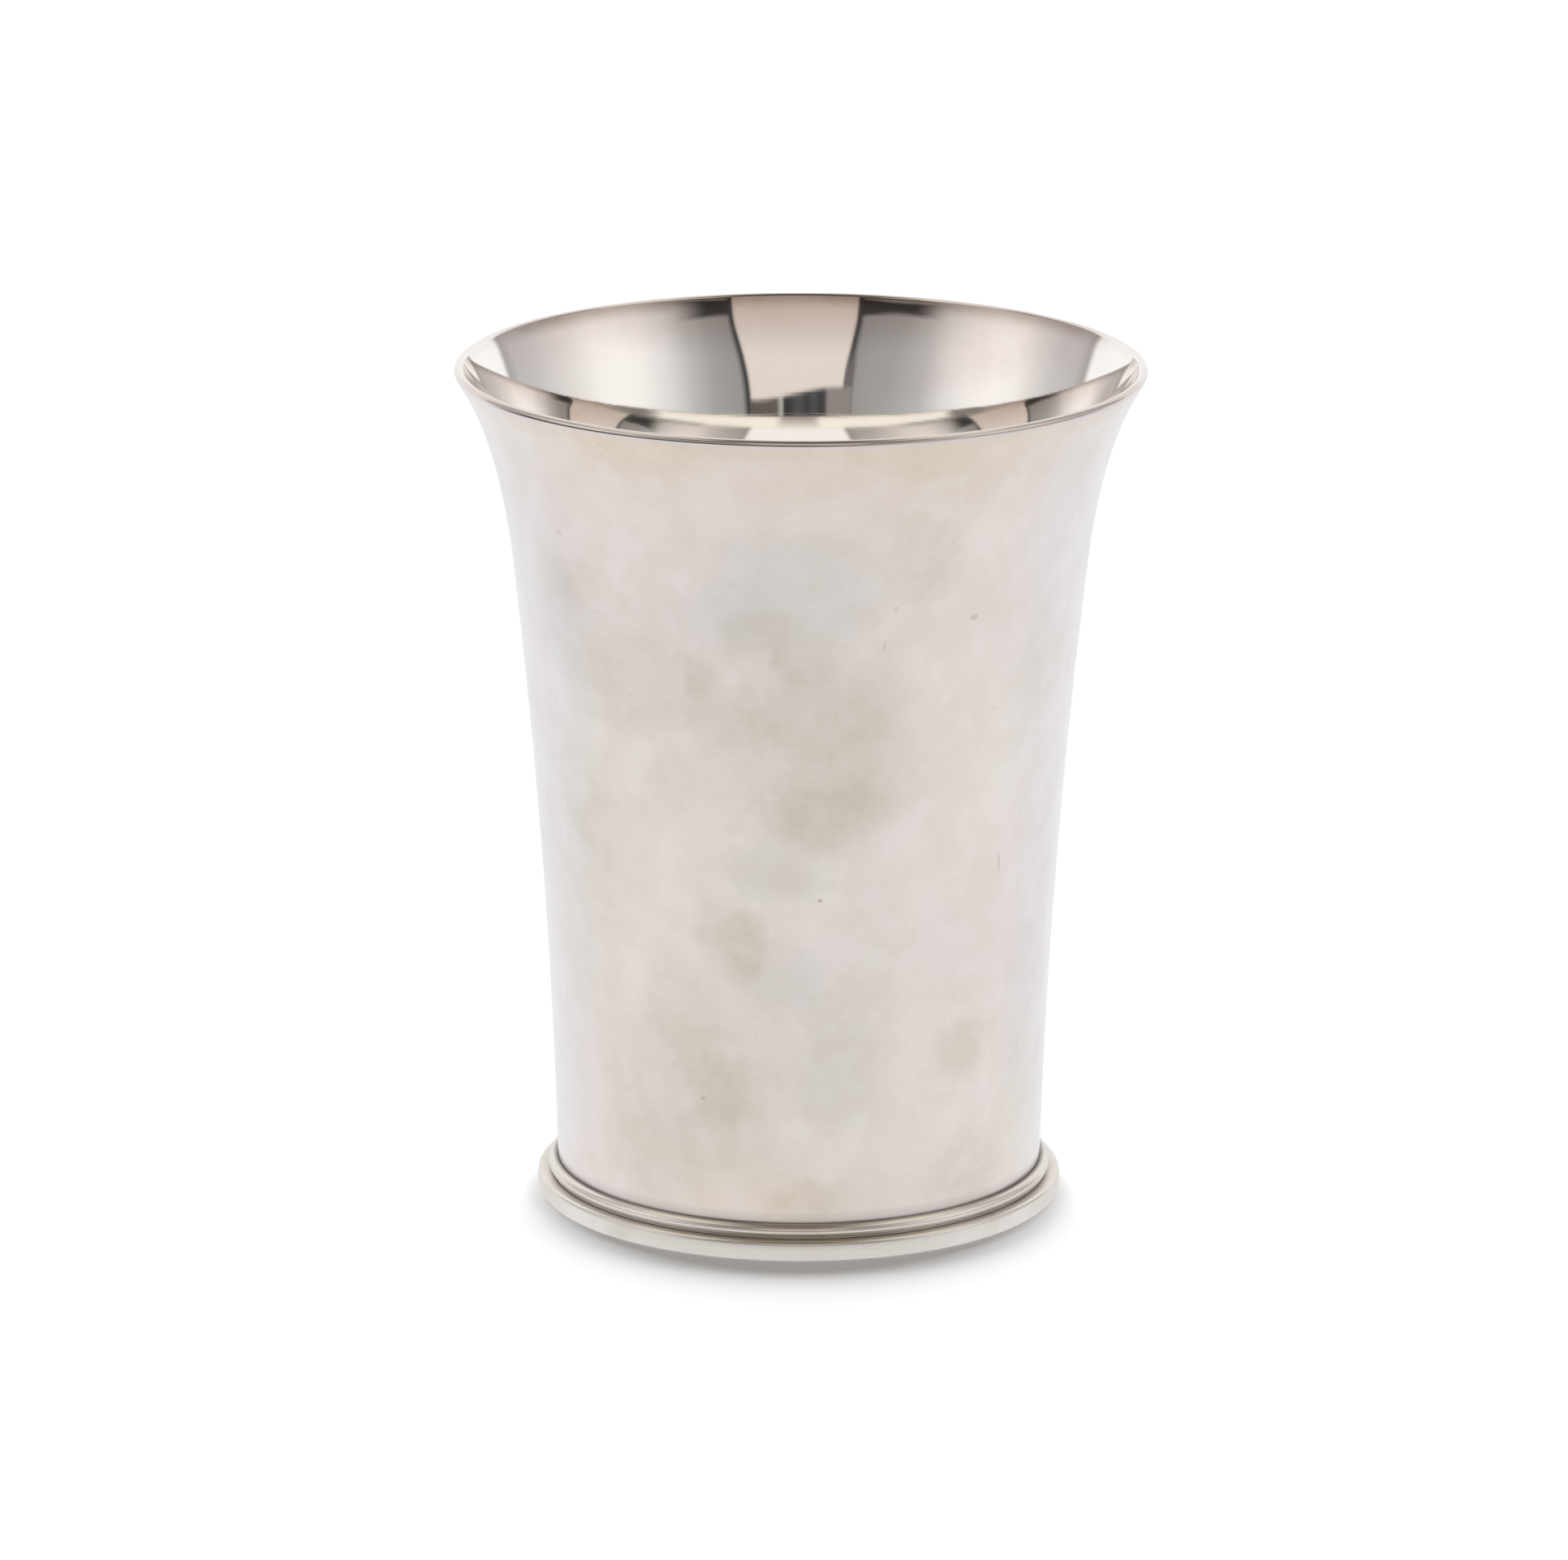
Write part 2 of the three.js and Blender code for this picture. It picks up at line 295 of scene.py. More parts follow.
wallValues = {
    # outline, in mm and degrees
    "height": 100.0, "baseRadius": 28.7, "neckRadius": 33.75, "lipRadius": 40.5,
    "taperBow": 0.9, "flareHeight": 23.5, "leadIn": 15.9, "leadOut": 2.3, "lean": 29.0,
    "sheet": 0.7, "lipSheet": 1.1, "lowEnd": 0.3,
    "taperSteps": 30, "flareSteps": 56, "lipSteps": 18, "turnSteps": 256,
    "waveSize": 0.017, "waveDepth": 0.03, "sharp": 50,
    # where paint goes, in mm: how it fades over the lip, and each share with the heights it fades between
    "faceGap": 0.3, "lipBlend": 0.4, "seamInside": (0.75, 4.4, 2.6), "seamOutside": (0.50, 4.50, 3.95),
    "underShare": 0.15, "underStart": (98.50, 99.00), "underEnd": (99.95, 99.70), "underReach": 0.3,
    "withinShare": 0.12, "withinStart": (98.90, 99.15), "withinReach": (0.3, -0.1),
    "lipTopStart": (99.40, 99.75), "lipInnerStart": (98.0, 99.5), "lipInnerCurve": 1.5,
    "lipCrown": (99.95, 99.70), "lipCrownShare": 0.45,
    # colours
    "clean": (0.872, 0.810, 0.778, 1), "blush": (0.880, 0.798, 0.780, 1), "grey": (0.785, 0.745, 0.725, 1),
    "cream": (0.900, 0.845, 0.800, 1), "straw": (0.640, 0.575, 0.445, 1), "warm": (0.840, 0.735, 0.640, 1),
    # the edge colour is the lip's tarnish and painted shade
    "edge": (0.470, 0.390, 0.350, 1), "inside": (0.950, 0.922, 0.900, 1), "rosy": (0.860, 0.768, 0.738, 1),
    # the seam colour is dirt and painted shade
    "dirtAndShade": (0.152, 0.160, 0.190, 1), "speck": (0.420, 0.370, 0.330, 1), "mottle": (0.960, 0.945, 0.925, 1),
    # clouds of tarnish, and how much of each shows
    "strawCloud": {"Scale": 34.0, "Cover": 0.54, "Soft": 0.3}, "strawShare": 0.24,
    "strawMottle": (0.66, 1.04),
    "blushCloud": {"Scale": 21.0, "Cover": 0.58, "Soft": 0.2}, "blushShare": 0.8,
    "greyCloud": {"Scale": 27.0, "Cover": 0.52, "Soft": 0.2}, "greyShare": 0.45,
    "creamCloud": {"Scale": 41.0, "Cover": 0.52, "Soft": 0.2}, "creamShare": 0.5,
    # the marks' wandering edge
    "wanderNoise": {"Scale": 85.0, "Detail": 6.0, "Roughness": 0.66}, "wander": 0.010,
    # buffing lines, scratches and pits; pairs are for outside and inside
    "lines": {"Across": 2600.0, "Along": 2.2}, "linesShare": (1.0, 0.25),
    "scratches": {"Scale": 260.0, "Few": 0.58}, "scratchShare": (0.09, 0.03),
    "pits": {"Scale": 75.0, "Few": 0.86, "Size": 0.03}, "pitShare": 0.5,
    "rough": (0.17, 0.045), "roughStain": 0.10, "roughLines": 0.02, "roughScratch": 0.15, "roughSeam": 0.35,
    "linesRelief": 0.12, "bump": {"Strength": 0.25, "Distance": 0.00004},
    # bands by height, and by how far back, in metres
    "lipBand": (0.0850, 0.0955), "lipBandShare": 0.40, "lipGlow": (0.0962, 0.0988), "lipGlowShare": 0.55,
    "lipClear": (0.0985, 0.0993), "rosyBand": (0.0930, 0.0985), "rosyShare": 0.80,
    "rosyBack": (0.010, 0.024), "rosyMottle": (0.7, 1.0), "seamSide": (-0.024, -0.010, 1.0, 0.8),
    # where the lip's top is darkened with tarnish and painted shade, in front and behind
    "lipFront": (-0.004, -0.014, 0.0, 0.42), "lipBack": (0.010, 0.026, 0.0, 0.95), "lipMottle": (0.85, 1.1),
    # marks, each with its place and reach in mm and its strength; where they meet they add up
    "stains": [
        ((2.2, -32.0, 61.0), (15.0, 16, 19.0), 0.22), ((2.7, -31.4, 54.6), (9.5, 12, 6.8), 0.27),
        ((0.3, -32.6, 65.3), (9.5, 12, 8.0), 0.20), ((0.3, -33.2, 72.1), (6.0, 12, 6.0), 0.24),
        ((-4.8, -33.3, 75.5), (6.0, 12, 6.0), 0.20), ((-9.0, -31.3, 64.9), (7.5, 12, 6.0), 0.22),
        ((8.7, -30.8, 59.5), (8.0, 12, 9.0), 0.14), ((9.6, -31.2, 66.4), (8.0, 12, 8.0), 0.10),
        ((-12.2, -30.7, 70.5), (3.8, 10, 3.8), 0.28), ((-7.5, -29.4, 38.2), (6.2, 11, 6.8), 0.50),
        ((-12.7, -26.9, 29.2), (8.0, 11, 8.0), 0.20), ((-9.9, -27.6, 19.6), (7.0, 11, 6.0), 0.26),
        ((-7.1, -28.2, 14.8), (8.5, 11, 8.0), 0.15), ((-6.1, -28.8, 22.9), (8.0, 11, 8.0), 0.18),
        ((1.9, -28.8, 6.0), (8.0, 11, 4.4), 0.34), ((19.4, -22.1, 23.4), (6.5, 11, 5.2), 0.34),
        ((20.0, -20.8, 9.1), (8.0, 11, 7.0), 0.20), ((-24.6, -19.2, 50.5), (9.0, 11, 8.0), 0.24),
        ((-20.2, -25.8, 67.8), (13.0, 13, 10.0), 0.20), ((14.2, -32.0, 84.7), (7.5, 11, 8.5), 0.26),
        ((6.7, -35.2, 88.3), (9.0, 11, 5.0), 0.14), ((-16.0, -23.0, 11.0), (11.0, 13, 9.0), 0.15),
        ((-20.0, -21.0, 20.0), (15.0, 14, 17.0), 0.10), ((15.0, -24.0, 9.0), (15.0, 14, 9.0), 0.10),
        ((-8.0, -28.0, 28.0), (13.0, 13, 15.0), 0.06), ((-22.0, -21.0, 46.0), (11.0, 12, 12.0), 0.08),
        ((-14.0, -26.0, 16.0), (17.0, 15, 17.0), 0.08), ((-3.5, -28.6, 11.0), (10.0, 12, 8.0), 0.18),
        ((-25.0, -17.5, 36.0), (10.0, 13, 13.0), 0.14),
    ],
    "greys": [
        ((-0.6, -34.4, 81.5), (16.0, 14, 11.0), 0.80), ((-9.0, -32.6, 77.2), (8.0, 11, 7.0), 0.40),
        ((-2.4, -30.8, 46.9), (9.0, 11, 6.5), 0.60), ((-1.4, -30.0, 33.1), (9.0, 11, 6.5), 0.75),
        ((4.2, -29.2, 23.0), (9.0, 11, 11.0), 0.65), ((17.4, -24.7, 36.5), (10.0, 11, 13.0), 0.15),
    ],
    "creams": [
        ((-19.3, -25.4, 58.0), (10.0, 12, 7.0), 0.70), ((21.0, -23.5, 54.7), (10.0, 12, 11.0), 0.55),
        ((16.2, -28.7, 69.6), (9.0, 12, 10.0), 0.55), ((15.0, -26.0, 46.0), (8.0, 12, 8.0), 0.40),
        ((-17.0, -23.0, 32.0), (7.0, 12, 9.0), 0.30), ((23.4, -22.0, 62.0), (9.0, 12, 9.0), 0.45),
        ((23.5, -17.5, 21.0), (6.0, 11, 9.0), 0.40),
    ],
    # where the clouds of tarnish are rubbed away
    "clears": [
        ((23.0, -25.0, 75.0), (11.0, 13, 10.0), 0.85), ((21.0, -22.5, 41.0), (12.0, 13, 15.0), 0.75),
    ],
    "warms": [
        ((14.9, -36.1, 96.8), (12.0, 11, 3.4), 0.55), ((-18.1, -34.6, 96.9), (13.0, 11, 3.0), 0.48),
        ((-8.0, -28.0, 6.5), (15.0, 12, 9.0), 0.42), ((0.5, -29.0, 5.0), (9.0, 12, 6.0), 0.40),
    ],
    "films": [
        ((24.7, 28.2, 95.7), (9, 9, 6), 0.55), ((19.9, 31.0, 94.1), (9, 9, 7), 0.45),
        ((30.4, 23.5, 97.7), (9, 9, 4), 0.35), ((-27.9, 26.9, 98.3), (9, 9, 4), 0.45),
        ((-20.2, 33.1, 98.3), (9, 9, 4), 0.45), ((14.0, 33.0, 92.0), (7, 9, 6), 0.25),
    ],
    "nicks": [
        ((19.9, -27.3, 76.4), (0.80, 1.5, 0.60), 0.35), ((10.9, -32.2, 78.6), (0.45, 1.5, 0.45), 0.24),
        ((9.6, -32.0, 74.1), (0.25, 1.5, 0.90), 0.26), ((2.3, -30.6, 43.5), (0.42, 1.5, 0.32), 0.62),
        ((-27.9, -21.1, 84.9), (0.65, 1.5, 0.60), 0.25), ((23.1, -20.4, 45.4), (0.20, 1.5, 1.90), 0.30),
        ((-11.2, -27.2, 18.6), (0.40, 1.5, 0.40), 0.50),
    ],
}


def outsideAt(height):
    # the taper's outside radius
    w = wallValues
    t = height / (w["height"] - w["flareHeight"])
    middle = (w["baseRadius"] + w["neckRadius"]) / 2 - 2 * w["taperBow"]
    return (1 - t) ** 2 * w["baseRadius"] + 2 * t * (1 - t) * middle + t * t * w["neckRadius"]


def insideAt(height):
    return outsideAt(height) - wallValues["sheet"]


def wallOutline():
    w = wallValues
    neckHeight = w["height"] - w["flareHeight"]
    lean = math.radians(w["lean"])
    upTaper = [w["lowEnd"] + (neckHeight - w["lowEnd"]) * i / w["taperSteps"]
               for i in range(w["taperSteps"] + 1)]
    outer = [Vector((outsideAt(z), z)) for z in upTaper]
    thick = [w["sheet"]] * len(outer)
    neck = outer[-1]
    step = 0.01
    along = Vector((outsideAt(neckHeight) - outsideAt(neckHeight - step), step)).normalized()
    lipHalf = w["lipSheet"] / 2
    lipCentre = Vector((w["lipRadius"] - lipHalf, w["height"] - lipHalf))
    lipEdge = lipCentre + lipHalf * Vector((math.cos(lean), -math.sin(lean)))
    leadIn = neck + w["leadIn"] * along
    leadOut = lipEdge - w["leadOut"] * Vector((math.sin(lean), math.cos(lean)))
    flare = interpolate_bezier(neck, leadIn, leadOut, lipEdge, w["flareSteps"] + 1)
    for i, point in enumerate(flare[1:], 1):
        outer.append(point)
        share = i / w["flareSteps"]
        thick.append(w["sheet"] + (w["lipSheet"] - w["sheet"]) * share)
    lip = arc(lipCentre, lipHalf, lipHalf, -w["lean"], 180 - w["lean"], w["lipSteps"])
    inner = []
    for i, point in enumerate(outer):
        ahead = outer[min(i + 1, len(outer) - 1)] - outer[max(i - 1, 0)]
        if i == len(outer) - 1:
            ahead = lipEdge - leadOut
        across = Vector((-ahead.y, ahead.x)).normalized()
        inner.append(point + thick[i] * across)
    return [tuple(p) for p in outer] + lip[1:-1] + [tuple(p) for p in reversed(inner)]


handWork = bpy.data.textures.new("handWork", "CLOUDS")
handWork.noise_scale = wallValues["waveSize"]
handWork.noise_depth = 1


def joinMarks(tree, coords, marks):
    # soft marks, added up
    joined = None
    for place, reach, strength in marks:
        one = useGroup(tree, tarnishPatch, {
            "Vector": coords, "Centre": [v * mm for v in place], "Reach": [v * mm for v in reach]})["Mask"]
        joined = calc(tree, "MULTIPLY_ADD", one, strength, 0.0 if joined is None else joined)
    return joined


def makeWallSilver():
    w = wallValues
    material, tree, shader, coords = startSilver("wallSilver")
    inside = addNode(tree, "Attribute", attribute_name="inside").outputs["Fac"]
    seamDirtAndShade = addNode(tree, "Attribute", attribute_name="seamDirtAndShade").outputs["Fac"]
    lipEdge = addNode(tree, "Attribute", attribute_name="lipEdge").outputs["Fac"]
    lipTop = addNode(tree, "Attribute", attribute_name="lipTop").outputs["Fac"]
    outside = calc(tree, "SUBTRACT", 1.0, inside)
    place = addNode(tree, "SeparateXYZ", {0: coords}).outputs
    height = place["Z"]
    bloom = useGroup(tree, tarnishBloom, {"Vector": coords, **w["strawCloud"]})
    blush = useGroup(tree, tarnishBloom, {"Vector": coords, **w["blushCloud"]})
    greys = useGroup(tree, tarnishBloom, {"Vector": coords, **w["greyCloud"]})
    cream = useGroup(tree, tarnishBloom, {"Vector": coords, **w["creamCloud"]})
    lines = useGroup(tree, polishLines, {"Vector": coords, **w["lines"]})["Lines"]
    scratch = useGroup(tree, hairlines, {"Vector": coords, **w["scratches"]})["Mask"]
    pits = useGroup(tree, specks, {"Vector": coords, **w["pits"]})["Mask"]

    # the marks share one wandering edge
    bent = addNode(tree, "TexNoise", {"Vector": coords, **w["wanderNoise"]})
    middle = (effectValues["noiseMiddle"],) * 3
    aside = addNode(tree, "VectorMath", {0: bent.outputs["Color"], 1: middle}, operation="SUBTRACT")
    wander = addNode(tree, "VectorMath", {0: aside.outputs[0], "Scale": w["wander"]}, operation="SCALE")
    bentCoords = addNode(tree, "VectorMath", {0: coords, 1: wander.outputs[0]}, operation="ADD").outputs[0]
    stain = joinMarks(tree, bentCoords, w["stains"])
    rubbed = calc(tree, "SUBTRACT", 1.0, joinMarks(tree, bentCoords, w["clears"]))
    cloud = calc(tree, "MULTIPLY", bloom["Mask"], w["strawShare"])
    stain = calc(tree, "MAXIMUM", stain, calc(tree, "MULTIPLY", cloud, rubbed))
    stain = calc(tree, "MULTIPLY", stain, fade(tree, bloom["Mottle"], 0.0, 1.0, *w["strawMottle"]))
    grey = joinMarks(tree, bentCoords, w["greys"])
    cloud = calc(tree, "MULTIPLY", greys["Mask"], w["greyShare"])
    grey = calc(tree, "MAXIMUM", grey, calc(tree, "MULTIPLY", cloud, rubbed))
    pale = joinMarks(tree, bentCoords, w["creams"])
    pale = calc(tree, "MAXIMUM", pale, calc(tree, "MULTIPLY", cream["Mask"], w["creamShare"]))
    warm = joinMarks(tree, bentCoords, w["warms"])
    warm = calc(tree, "MULTIPLY_ADD", fade(tree, height, *w["lipBand"]), w["lipBandShare"], warm)
    warm = calc(tree, "MULTIPLY_ADD", fade(tree, height, *w["lipGlow"]), w["lipGlowShare"], warm)
    warm = calc(tree, "MULTIPLY", warm, fade(tree, height, *w["lipClear"], 1.0, 0.0))
    nick = calc(tree, "MULTIPLY_ADD", pits, w["pitShare"], joinMarks(tree, coords, w["nicks"]))
    scratch = calc(tree, "MULTIPLY", scratch, fade(tree, inside, 0.0, 1.0, *w["scratchShare"]))
    lines = calc(tree, "MULTIPLY", lines, fade(tree, inside, 0.0, 1.0, *w["linesShare"]))

    rosier = calc(tree, "MULTIPLY", blush["Mask"], w["blushShare"])
    colour = blendColour(tree, rosier, w["clean"], w["blush"])
    colour = blendColour(tree, pale, colour, w["cream"])
    colour = blendColour(tree, grey, colour, w["grey"])
    colour = blendColour(tree, warm, colour, w["warm"])
    colour = blendColour(tree, stain, colour, w["straw"])
    colour = blendColour(tree, cream["Mottle"], colour, w["mottle"], "MULTIPLY")
    # a rosy film is left inside, under the lip
    rosy = calc(tree, "MULTIPLY", fade(tree, height, *w["rosyBand"]), w["rosyShare"])
    rosy = calc(tree, "MULTIPLY", rosy, fade(tree, place["Y"], *w["rosyBack"]))
    rosy = calc(tree, "MAXIMUM", rosy, joinMarks(tree, bentCoords, w["films"]))
    rosy = calc(tree, "MULTIPLY", rosy, fade(tree, bloom["Mottle"], 0.0, 1.0, *w["rosyMottle"]))
    within = blendColour(tree, rosy, w["inside"], w["rosy"])
    colour = blendColour(tree, inside, colour, within)
    # the lip's top is darkened in front and behind, as tarnish and painted shade, and bright at the sides
    lipFront = fade(tree, place["Y"], *w["lipFront"])
    tarnishAndShadeFrontBack = calc(tree, "MAXIMUM", lipFront, fade(tree, place["Y"], *w["lipBack"]))
    lipEdge = calc(tree, "MAXIMUM", lipEdge, calc(tree, "MULTIPLY", lipTop, tarnishAndShadeFrontBack))
    lipEdge = calc(tree, "MULTIPLY", lipEdge, fade(tree, blush["Mottle"], 0.0, 1.0, *w["lipMottle"]))
    colour = blendColour(tree, lipEdge, colour, w["edge"])
    colour = blendColour(tree, nick, colour, w["speck"])
    colour = blendColour(tree, scratch, colour, w["speck"])
    # the seams are darkened with dirt and painted shade, a little less away from the front
    seamDirtAndShade = calc(tree, "MULTIPLY", seamDirtAndShade, fade(tree, place["Y"], *w["seamSide"]))
    colour = blendColour(tree, seamDirtAndShade, colour, w["dirtAndShade"])
    tree.links.new(colour, shader.inputs["Base Color"])

    rough = fade(tree, inside, 0.0, 1.0, *w["rough"])
    stained = calc(tree, "MULTIPLY", stain, outside)
    rough = calc(tree, "MULTIPLY_ADD", stained, w["roughStain"], rough)
    rough = calc(tree, "MULTIPLY_ADD", lines, w["roughLines"], rough)
    rough = calc(tree, "MULTIPLY_ADD", scratch, w["roughScratch"], rough)
    rough = calc(tree, "MULTIPLY_ADD", seamDirtAndShade, w["roughSeam"], rough)
    tree.links.new(rough, shader.inputs["Roughness"])

    relief = calc(tree, "MULTIPLY_ADD", lines, w["linesRelief"], calc(tree, "MULTIPLY", scratch, -1.0))
    relief = calc(tree, "MULTIPLY_ADD", nick, -1.0, relief)
    bump = addNode(tree, "Bump", {"Height": relief, **w["bump"]})
    tree.links.new(bump.outputs[0], shader.inputs["Normal"])
    return material


outline = wallOutline()
wall = turnOnLathe("bodyWall", outline, wallValues["turnSteps"], True)
lipMiddle = wallValues["lipRadius"] - wallValues["lipSheet"] / 2
# paint the inside and the seams before the hand work moves the points
lipPoint = wallValues["taperSteps"] + wallValues["flareSteps"] + wallValues["lipSteps"] / 2
outerFace = sorted((z, r) for r, z in outline[:int(lipPoint)])
justAbove = 0.0001


def wallInside(r, z):
    # 1 on the inner face, 0 on the outer, and blended over the lip
    if z >= wallValues["height"] - wallValues["lipSheet"]:
        return ramp(lipMiddle - r, -wallValues["lipBlend"], wallValues["lipBlend"])
    below = max((p for p in outerFace if p[0] <= z + justAbove), default=outerFace[0])
    return 1.0 if r < below[1] - wallValues["faceGap"] else 0.0


def wallSeam(r, z):
    # dirt and painted shade in the corner with the bottom, and above the reed
    share, clean, full = wallValues["seamInside" if wallInside(r, z) > 0.5 else "seamOutside"]
    return share * ramp(z, clean, full)


def wallLipEdge(r, z):
    # tarnish and painted shade under the lip's outer edge, and tarnish along its inner one
    w = wallValues
    out = r - lipMiddle
    under = w["underShare"] * ramp(z, *w["underStart"]) * ramp(z, *w["underEnd"])
    under *= ramp(out, 0, w["underReach"])
    within = w["withinShare"] * ramp(z, *w["withinStart"]) * ramp(out, *w["withinReach"])
    return max(under, within)


def wallLipTop(r, z):
    # over the lip, and fading down its inner face
    w = wallValues
    if r >= lipMiddle:
        return ramp(z, *w["lipTopStart"])
    crown = w["lipCrownShare"] + (1 - w["lipCrownShare"]) * ramp(z, *w["lipCrown"])
    return ramp(z, *w["lipInnerStart"]) ** w["lipInnerCurve"] * crown


paintPoints(wall, "inside", wallInside)
paintPoints(wall, "seamDirtAndShade", wallSeam)
paintPoints(wall, "lipEdge", wallLipEdge)
paintPoints(wall, "lipTop", wallLipTop)
workByHand(wall, handWork, wallValues["waveDepth"])
finishPiece(wall, "body_wall", makeWallSilver(), wallValues["sharp"])


# the bottom: a flat disc let into the wall, with solder drawn into the corner

baseValues = {
    # outline, in mm
    "rise": 1.4, "thick": 0.8, "crown": 0.25, "seatGap": 0.05, "fillet": 0.8, "edge": 0.15,
    "rings": 26, "filletSteps": 8, "turnSteps": 192, "waveDepth": 0.05, "sharp": 45,
    # dirt and painted shade in the corner: its share, and the distances from the axis that it fades between
    "seamShare": 0.8, "seamReach": (25.6, 27.6),
    # finish; the seam colour is dirt and painted shade
    "clean": (0.88, 0.855, 0.83, 1), "straw": (0.74, 0.67, 0.58, 1), "dirtAndShade": (0.12, 0.10, 0.085, 1),
    "speck": (0.40, 0.36, 0.32, 1),
    "cloud": {"Scale": 60.0, "Cover": 0.55, "Soft": 0.3}, "cloudMottle": (0.25, 0.60),
    "lines": {"Across": 2200.0, "Along": 1.6}, "pits": {"Scale": 140.0, "Few": 0.8, "Size": 0.04},
    "scratches": {"Scale": 320.0, "Few": 0.50}, "scratchShare": 0.25,
    "rough": 0.14, "roughStain": 0.12, "roughLines": 0.05, "roughScratch": 0.12, "roughSeam": 0.3,
    "linesRelief": 0.5, "scratchRelief": -0.8, "bump": {"Strength": 0.35, "Distance": 0.00005},
}


def baseOutline():
    b = baseValues
    top = b["rise"] + b["thick"]
    low = insideAt(b["rise"]) - b["seatGap"]
    seat = insideAt(top + b["fillet"]) - b["seatGap"]
    reach = seat - b["fillet"]

    def crowned(height, r):
        return height + b["crown"] * (1 - (r / low) ** 2)
    under = [low * i / b["rings"] for i in range(b["rings"])]
    over = [reach * (1 - i / b["rings"]) for i in range(1, b["rings"] + 1)]
    corner = arc((reach, top + b["fillet"]), b["fillet"], b["fillet"], 0, -90, b["filletSteps"])
    rim = [(low - b["edge"], b["rise"]), (low, b["rise"] + b["edge"]), (insideAt(top) - b["seatGap"], top)]
    return ([(r, crowned(b["rise"], r)) for r in under] + rim
            + corner + [(r, crowned(top, r)) for r in over])


def makeBaseSilver():
    b = baseValues
    material, tree, shader, coords = startSilver("baseSilver")
    seamDirtAndShade = addNode(tree, "Attribute", attribute_name="seamDirtAndShade").outputs["Fac"]
    bloom = useGroup(tree, tarnishBloom, {"Vector": coords, **b["cloud"]})
    lines = useGroup(tree, polishLines, {"Vector": coords, **b["lines"]})["Lines"]
    scratch = useGroup(tree, hairlines, {"Vector": coords, **b["scratches"]})["Mask"]
    pits = useGroup(tree, specks, {"Vector": coords, **b["pits"]})["Mask"]
    stain = calc(tree, "MULTIPLY", bloom["Mask"], fade(tree, bloom["Mottle"], 0.0, 1.0, *b["cloudMottle"]))
    colour = blendColour(tree, stain, b["clean"], b["straw"])
    colour = blendColour(tree, calc(tree, "MULTIPLY", scratch, b["scratchShare"]), colour, b["speck"])
    colour = blendColour(tree, pits, colour, b["speck"])
    # the corner is darkened with dirt and painted shade
    colour = blendColour(tree, seamDirtAndShade, colour, b["dirtAndShade"])
    tree.links.new(colour, shader.inputs["Base Color"])
    rough = calc(tree, "MULTIPLY_ADD", stain, b["roughStain"], b["rough"])
    rough = calc(tree, "MULTIPLY_ADD", lines, b["roughLines"], rough)
    rough = calc(tree, "MULTIPLY_ADD", scratch, b["roughScratch"], rough)
    rough = calc(tree, "MULTIPLY_ADD", seamDirtAndShade, b["roughSeam"], rough)
    tree.links.new(rough, shader.inputs["Roughness"])
    cut = calc(tree, "MULTIPLY", scratch, b["scratchRelief"])
    relief = calc(tree, "MULTIPLY_ADD", lines, b["linesRelief"], cut)
    relief = calc(tree, "MULTIPLY_ADD", pits, -1.0, relief)
    bump = addNode(tree, "Bump", {"Height": relief, **b["bump"]})
    tree.links.new(bump.outputs[0], shader.inputs["Normal"])
    return material


base = turnOnLathe("baseDisc", baseOutline(), baseValues["turnSteps"], False)
paintPoints(base, "seamDirtAndShade", lambda r, z: baseValues["seamShare"] * ramp(r, *baseValues["seamReach"]))
workByHand(base, handWork, baseValues["waveDepth"])
finishPiece(base, "base_disc", makeBaseSilver(), baseValues["sharp"])


# the foot: a thin reed over a broader band

footValues = {
    # outlines, in mm and degrees
    "bandHeight": 2.25, "bandDepth": 2.35, "bandShoulder": 0.45, "bandHeel": 0.35, "bandBelly": 0.05,
    "reedHeight": 1.6, "reedDepth": 1.1, "reedCrown": 0.9, "gap": 0.05,
    "solderTurn": 56, "solderReach": 0.10, "solderNeck": 0.06, "solderCurve": 0.67,
    "faceSteps": 10, "edgeSteps": 8, "reedSteps": 32, "turnSteps": 256, "sharp": 50, "waveDepth": 0.03,
    # dirt and painted shade in the grooves: its share, and the distances from the axis and the heights that
    # it fades between
    "reedTopShare": 0.36, "reedTopReach": (29.40, 29.0), "reedTopRise": (3.0, 3.2),
    "reedLowShare": 0.20, "reedLowRise": (2.62, 2.45),
    "bandTopShare": 0.20, "bandTopReach": (30.7, 30.2), "bandTopRise": (1.9, 2.15),
    "dirtAndShadeSide": (0.45, 1.0, 1.6, 0.9),
    # finish; the film thins and thickens by how far back it is, in metres, with painted shade in front and
    # the bare sides painted brighter as a reflection
    "clean": (0.95, 0.915, 0.895, 1), "filmAndFrontShade": (0.790, 0.742, 0.690, 1), "straw": (0.70, 0.64, 0.57, 1),
    # the seam colour is dirt and painted shade
    "dirtAndShade": (0.158, 0.166, 0.192, 1), "speck": (0.40, 0.35, 0.31, 1),
    "filmFront": (-0.029, -0.022, 1.0, 0.45), "filmBack": (-0.022, -0.010), "filmShare": 0.95,
    "cloud": {"Scale": 70.0, "Cover": 0.55, "Soft": 0.25}, "cloudMottle": (0.25, 0.6),
    "lines": {"Across": 4200.0, "Along": 5.0}, "scratches": {"Scale": 340.0, "Few": 0.52},
    "pits": {"Scale": 260.0, "Few": 0.8, "Size": 0.05}, "pitShare": 0.7,
    "rough": 0.26, "roughStain": 0.04, "roughLines": 0.02, "roughSeam": 0.35,
    "linesRelief": 0.04, "scratchRelief": -0.4, "bump": {"Strength": 0.3, "Distance": 0.00004},
}


